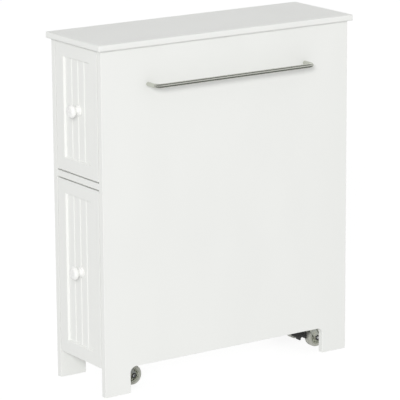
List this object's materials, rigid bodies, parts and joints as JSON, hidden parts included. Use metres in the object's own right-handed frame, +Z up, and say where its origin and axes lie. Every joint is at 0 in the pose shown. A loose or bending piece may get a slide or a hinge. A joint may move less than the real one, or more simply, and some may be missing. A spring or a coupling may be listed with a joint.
{
  "type": "slim rolling bathroom cabinet",
  "caption": "Narrow, deep white bathroom cabinet that rolls on casters, with pull-out drawers behind planked fronts at its narrow end and a towel bar along one side.",
  "frame": {"origin": "on the floor, at the middle of the footprint with the towel bar, knobs and top overhang counted", "axes": "+Z up; -Y is the front with the drawers and knobs; +X is the side with the towel bar"},
  "size_m": [0.212, 0.5746, 0.66],
  "materials": {
    "white_board": "white lacquer on MDF, soft satin",
    "knob_white": "white lacquer on turned wood, satin",
    "stainless": "brushed stainless steel rod",
    "beech": "plain beech dowel",
    "zinc_hardware": "zinc-plated steel and die-cast zinc",
    "zinc_slide": "zinc-plated rolled steel",
    "bright_steel": "bright steel",
    "zinc_pressing": "zinc-plated pressed steel",
    "black_nylon": "black nylon",
    "clear_grey_core": "grey-green moulded polypropylene",
    "grey_tread": "pale grey soft thermoplastic rubber",
    "black_plastic": "black moulded nylon"
  },
  "bodies": {
    "root": {"side_panel_left": "white_board", "side_panel_right": "white_board", "top_panel": "white_board", "bottom_panel": "white_board", "middle_shelf": "white_board", "back_panel": "white_board", "cam_locks": "zinc_hardware", "cam_bolts": "zinc_hardware", "dowels": "beech", "towel_bar": "stainless", "towel_bar_screws": "zinc_hardware", "upper_slide_rails": "zinc_slide", "lower_slide_rails": "zinc_slide", "slide_screws": "zinc_hardware", "caster_plate_fl": "zinc_pressing", "caster_plate_fr": "zinc_pressing", "caster_plate_rl": "zinc_pressing", "caster_plate_rr": "zinc_pressing", "caster_screws": "zinc_hardware", "swivel_balls": "bright_steel"},
    "upper_drawer": {"upper_front": "white_board", "upper_side_left": "white_board", "upper_side_right": "white_board", "upper_back": "white_board", "upper_bottom": "white_board", "upper_runners": "zinc_slide", "upper_knob": "knob_white", "upper_fixings": "zinc_hardware"},
    "upper_cages": {"upper_ball_cages": "bright_steel"},
    "lower_drawer": {"lower_front": "white_board", "lower_side_left": "white_board", "lower_side_right": "white_board", "lower_back": "white_board", "lower_bottom": "white_board", "lower_runners": "zinc_slide", "lower_knob": "knob_white", "lower_fixings": "zinc_hardware"},
    "lower_cages": {"lower_ball_cages": "bright_steel"},
    "caster_fl": {"caster_fork_fl": "zinc_pressing", "axle_fl": "bright_steel", "axle_washers_fl": "black_nylon"},
    "wheel_fl": {"wheel_core_fl": "clear_grey_core", "tread_fl": "grey_tread"},
    "caster_fr": {"caster_fork_fr": "zinc_pressing", "axle_fr": "bright_steel", "axle_washers_fr": "black_nylon"},
    "wheel_fr": {"wheel_core_fr": "clear_grey_core", "tread_fr": "grey_tread"},
    "caster_rl": {"caster_fork_rl": "zinc_pressing", "axle_rl": "bright_steel", "axle_washers_rl": "black_nylon"},
    "wheel_rl": {"wheel_core_rl": "clear_grey_core", "tread_rl": "grey_tread"},
    "caster_rr": {"caster_fork_rr": "zinc_pressing", "axle_rr": "bright_steel", "axle_washers_rr": "black_nylon"},
    "wheel_rr": {"wheel_core_rr": "clear_grey_core", "tread_rr": "grey_tread"},
    "brake_rl": {"brake_pedal_rl": "black_plastic"},
    "brake_rr": {"brake_pedal_rr": "black_plastic"}
  },
  "joints": [
    {"name": "upper_drawer_slide", "type": "slide", "parent": "root", "child": "upper_drawer", "axis": [0, -1, 0], "range_m": [0, 0.375]},
    {"name": "upper_cage_slide", "type": "slide", "parent": "root", "child": "upper_cages", "axis": [0, -1, 0], "range_m": [0, 0.1875]},
    {"name": "lower_drawer_slide", "type": "slide", "parent": "root", "child": "lower_drawer", "axis": [0, -1, 0], "range_m": [0, 0.375]},
    {"name": "lower_cage_slide", "type": "slide", "parent": "root", "child": "lower_cages", "axis": [0, -1, 0], "range_m": [0, 0.1875]},
    {"name": "front_left_swivel", "type": "hinge", "parent": "root", "child": "caster_fl", "pos_m": [-0.04601, -0.19875, 0.046], "axis": [0, 0, 1], "continuous": true},
    {"name": "front_left_wheel_spin", "type": "hinge", "parent": "caster_fl", "child": "wheel_fl", "pos_m": [-0.04601, -0.18225, 0.019], "axis": [1, 0, 0], "continuous": true},
    {"name": "front_right_swivel", "type": "hinge", "parent": "root", "child": "caster_fr", "pos_m": [0.02001, -0.19875, 0.046], "axis": [0, 0, 1], "continuous": true},
    {"name": "front_right_wheel_spin", "type": "hinge", "parent": "caster_fr", "child": "wheel_fr", "pos_m": [0.02001, -0.18225, 0.019], "axis": [1, 0, 0], "continuous": true},
    {"name": "rear_left_swivel", "type": "hinge", "parent": "root", "child": "caster_rl", "pos_m": [-0.04601, 0.22725, 0.046], "axis": [0, 0, 1], "continuous": true},
    {"name": "rear_left_wheel_spin", "type": "hinge", "parent": "caster_rl", "child": "wheel_rl", "pos_m": [-0.04601, 0.24375, 0.019], "axis": [1, 0, 0], "continuous": true},
    {"name": "rear_right_swivel", "type": "hinge", "parent": "root", "child": "caster_rr", "pos_m": [0.02001, 0.22725, 0.046], "axis": [0, 0, 1], "continuous": true},
    {"name": "rear_right_wheel_spin", "type": "hinge", "parent": "caster_rr", "child": "wheel_rr", "pos_m": [0.02001, 0.24375, 0.019], "axis": [1, 0, 0], "continuous": true},
    {"name": "rear_left_brake", "type": "hinge", "parent": "caster_rl", "child": "brake_rl", "pos_m": [-0.04601, 0.21725, 0.0395], "axis": [1, 0, 0], "range_deg": [0, 11]},
    {"name": "rear_right_brake", "type": "hinge", "parent": "caster_rr", "child": "brake_rr", "pos_m": [0.02001, 0.21725, 0.0395], "axis": [1, 0, 0], "range_deg": [0, 11]}
  ],
  "couplings": [
    {"joint": "upper_cage_slide", "follows": "upper_drawer_slide", "ratio": 0.5},
    {"joint": "lower_cage_slide", "follows": "lower_drawer_slide", "ratio": 0.5}
  ]
}
